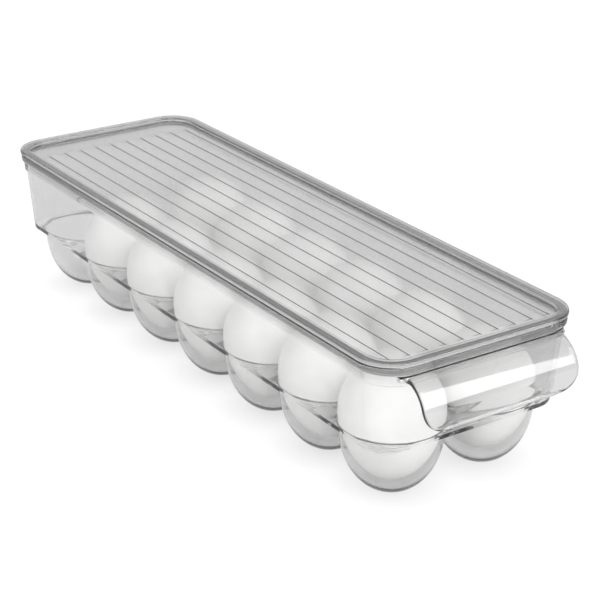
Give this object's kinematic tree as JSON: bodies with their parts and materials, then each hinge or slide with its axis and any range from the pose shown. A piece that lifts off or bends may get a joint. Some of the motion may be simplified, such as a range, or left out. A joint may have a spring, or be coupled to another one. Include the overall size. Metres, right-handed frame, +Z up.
{
  "type": "lidded egg holder tray",
  "caption": "Clear plastic refrigerator egg bin: rows of round-bottomed egg cups under a deep rim, a drop-in ribbed lid, a curved front pull, and loose white eggs in the cups.",
  "frame": {"origin": "centre of the whole object's bounding box, on the plane that the cups' feet stand on", "axes": "+Z up; +Y along the bin's length towards its rear, so the pull is at -Y; +X across it, to the right seen from the pull"},
  "size_m": [0.108, 0.3544, 0.0749],
  "materials": {
    "clear_tray_plastic": "water-clear moulded plastic, polished",
    "clear_lid_plastic": "clear moulded plastic, polished, ribbed on top",
    "white_eggshell": "matt white eggshell"
  },
  "bodies": {
    "tray": {"tray": "clear_tray_plastic"},
    "lid": {"lid": "clear_lid_plastic"},
    "egg_01": {"egg_01": "white_eggshell"},
    "egg_02": {"egg_02": "white_eggshell"},
    "egg_03": {"egg_03": "white_eggshell"},
    "egg_04": {"egg_04": "white_eggshell"},
    "egg_05": {"egg_05": "white_eggshell"},
    "egg_06": {"egg_06": "white_eggshell"},
    "egg_07": {"egg_07": "white_eggshell"},
    "egg_08": {"egg_08": "white_eggshell"},
    "egg_09": {"egg_09": "white_eggshell"},
    "egg_10": {"egg_10": "white_eggshell"},
    "egg_11": {"egg_11": "white_eggshell"},
    "egg_12": {"egg_12": "white_eggshell"}
  },
  "joints": [
    {"name": "lid_lift", "type": "slide", "parent": "tray", "child": "lid", "axis": [0, 0, 1], "range_m": [0, 0.12]},
    {"name": "lift_egg_01", "type": "slide", "parent": "tray", "child": "egg_01", "axis": [0, 0, 1], "range_m": [0, 0.0075]},
    {"name": "lift_egg_02", "type": "slide", "parent": "tray", "child": "egg_02", "axis": [0, 0, 1], "range_m": [0, 0.0075]},
    {"name": "lift_egg_03", "type": "slide", "parent": "tray", "child": "egg_03", "axis": [0, 0, 1], "range_m": [0, 0.0075]},
    {"name": "lift_egg_04", "type": "slide", "parent": "tray", "child": "egg_04", "axis": [0, 0, 1], "range_m": [0, 0.0075]},
    {"name": "lift_egg_05", "type": "slide", "parent": "tray", "child": "egg_05", "axis": [0, 0, 1], "range_m": [0, 0.0075]},
    {"name": "lift_egg_06", "type": "slide", "parent": "tray", "child": "egg_06", "axis": [0, 0, 1], "range_m": [0, 0.0075]},
    {"name": "lift_egg_07", "type": "slide", "parent": "tray", "child": "egg_07", "axis": [0, 0, 1], "range_m": [0, 0.0075]},
    {"name": "lift_egg_08", "type": "slide", "parent": "tray", "child": "egg_08", "axis": [0, 0, 1], "range_m": [0, 0.0075]},
    {"name": "lift_egg_09", "type": "slide", "parent": "tray", "child": "egg_09", "axis": [0, 0, 1], "range_m": [0, 0.0075]},
    {"name": "lift_egg_10", "type": "slide", "parent": "tray", "child": "egg_10", "axis": [0, 0, 1], "range_m": [0, 0.0075]},
    {"name": "lift_egg_11", "type": "slide", "parent": "tray", "child": "egg_11", "axis": [0, 0, 1], "range_m": [0, 0.0075]},
    {"name": "lift_egg_12", "type": "slide", "parent": "tray", "child": "egg_12", "axis": [0, 0, 1], "range_m": [0, 0.0075]}
  ]
}
